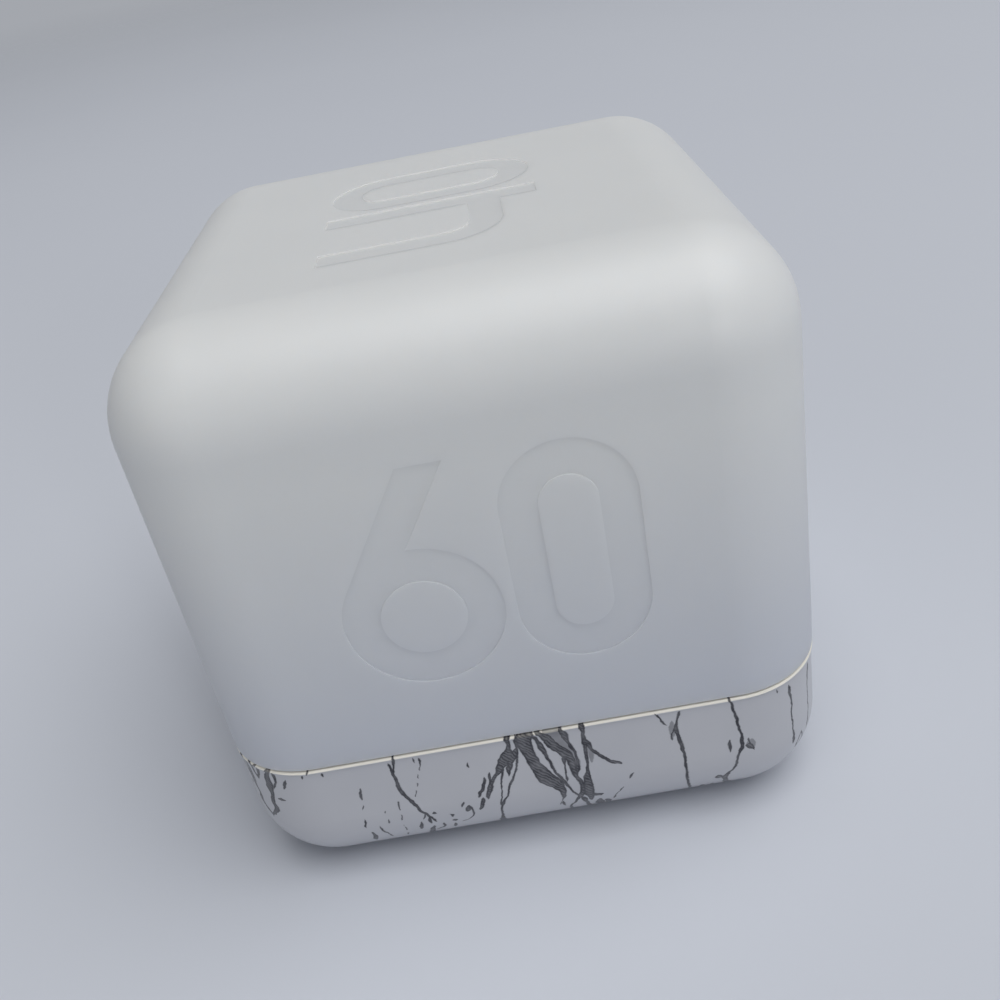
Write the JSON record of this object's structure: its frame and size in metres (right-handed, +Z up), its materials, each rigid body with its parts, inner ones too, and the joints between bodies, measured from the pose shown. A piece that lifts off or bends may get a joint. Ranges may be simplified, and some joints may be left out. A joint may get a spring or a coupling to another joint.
{
  "type": "cube timer",
  "caption": "Rounded white cube timer with sunk minutes numerals, a marble-veined base, a sliding battery door and a slide switch underneath.",
  "frame": {"origin": "middle of the underside, on the surface that the timer stands on", "axes": "+Z up; the face marked 60 looks along -Y, the battery door slides out along +Y"},
  "size_m": [0.06, 0.06, 0.06],
  "materials": {
    "shell_plastic": "satin moulded, slightly translucent white",
    "printed_plastic": "satin moulded white with a dark marble-vein print",
    "screw_steel": "zinc plated",
    "black_plastic": "moulded, fine spark texture",
    "cell_can": null,
    "nickel_strip": "nickel plated spring strip",
    "nickel_wire": "nickel plated spring wire",
    "circuit_board": "green solder mask over glass-fibre laminate",
    "chip_epoxy": "moulded epoxy",
    "tinned_lead": "tinned",
    "plated_can": "bright nickel plated",
    "capacitor_sleeve": "shrunk film sleeve",
    "capacitor_ceramic": "fired, bare",
    "resistor_ceramic": "glazed",
    "light_epoxy": "diffused epoxy",
    "spring_steel": "rolled",
    "ferrite": "sintered",
    "copper_winding": "enamelled copper wire",
    "foam": "closed-cell foam",
    "knob_plastic": "satin moulded",
    "ball_brass": "gold plated"
  },
  "bodies": {
    "casing": {"base_cover": "printed_plastic", "battery_box": "black_plastic", "board_screws": "screw_steel", "buzzer_case": "black_plastic", "buzzer_coil": "copper_winding", "buzzer_diaphragm": "spring_steel", "buzzer_gasket": "foam", "buzzer_magnet": "ferrite", "buzzer_pole_plate": "spring_steel", "casing_screws": "screw_steel", "cell_left": "cell_can", "cell_right": "cell_can", "ceramic_capacitors": "capacitor_ceramic", "chip_leads": "tinned_lead", "crystal": "plated_can", "driver_transistor": "chip_epoxy", "electrolytic_capacitor": "capacitor_sleeve", "link_plate": "nickel_strip", "link_spring": "nickel_wire", "main_board": "circuit_board", "microcontroller": "chip_epoxy", "negative_plate": "nickel_strip", "negative_spring": "nickel_wire", "positive_plate": "nickel_strip", "resistors": "resistor_ceramic", "signal_lights": "light_epoxy", "switch_frame": "plated_can", "tilt_can_x": "plated_can", "tilt_can_y": "plated_can", "tilt_can_z": "plated_can", "tilt_header_x": "black_plastic", "tilt_header_y": "black_plastic", "tilt_header_z": "black_plastic", "upper_shell": "shell_plastic"},
    "battery_door": {"battery_door": "printed_plastic"},
    "switch_slider": {"switch_knob": "knob_plastic", "switch_lever": "black_plastic"},
    "ball_x": {"tilt_ball_x": "ball_brass"},
    "ball_y": {"tilt_ball_y": "ball_brass"},
    "ball_z": {"tilt_ball_z": "ball_brass"}
  },
  "joints": [
    {"name": "battery_door_slide", "type": "slide", "parent": "casing", "child": "battery_door", "axis": [0, 1, 0], "range_m": [0, 0.046]},
    {"name": "volume_switch_slide", "type": "slide", "parent": "casing", "child": "switch_slider", "axis": [0, 1, 0], "range_m": [-0.002, 0.002]},
    {"name": "tilt_x_roll", "type": "slide", "parent": "casing", "child": "ball_x", "axis": [1, 0, 0], "range_m": [-0.00105, 0.00105]},
    {"name": "tilt_y_roll", "type": "slide", "parent": "casing", "child": "ball_y", "axis": [0, 1, 0], "range_m": [-0.00105, 0.00105]},
    {"name": "tilt_z_roll", "type": "slide", "parent": "casing", "child": "ball_z", "axis": [0, 0, 1], "range_m": [0, 0.0021]}
  ]
}
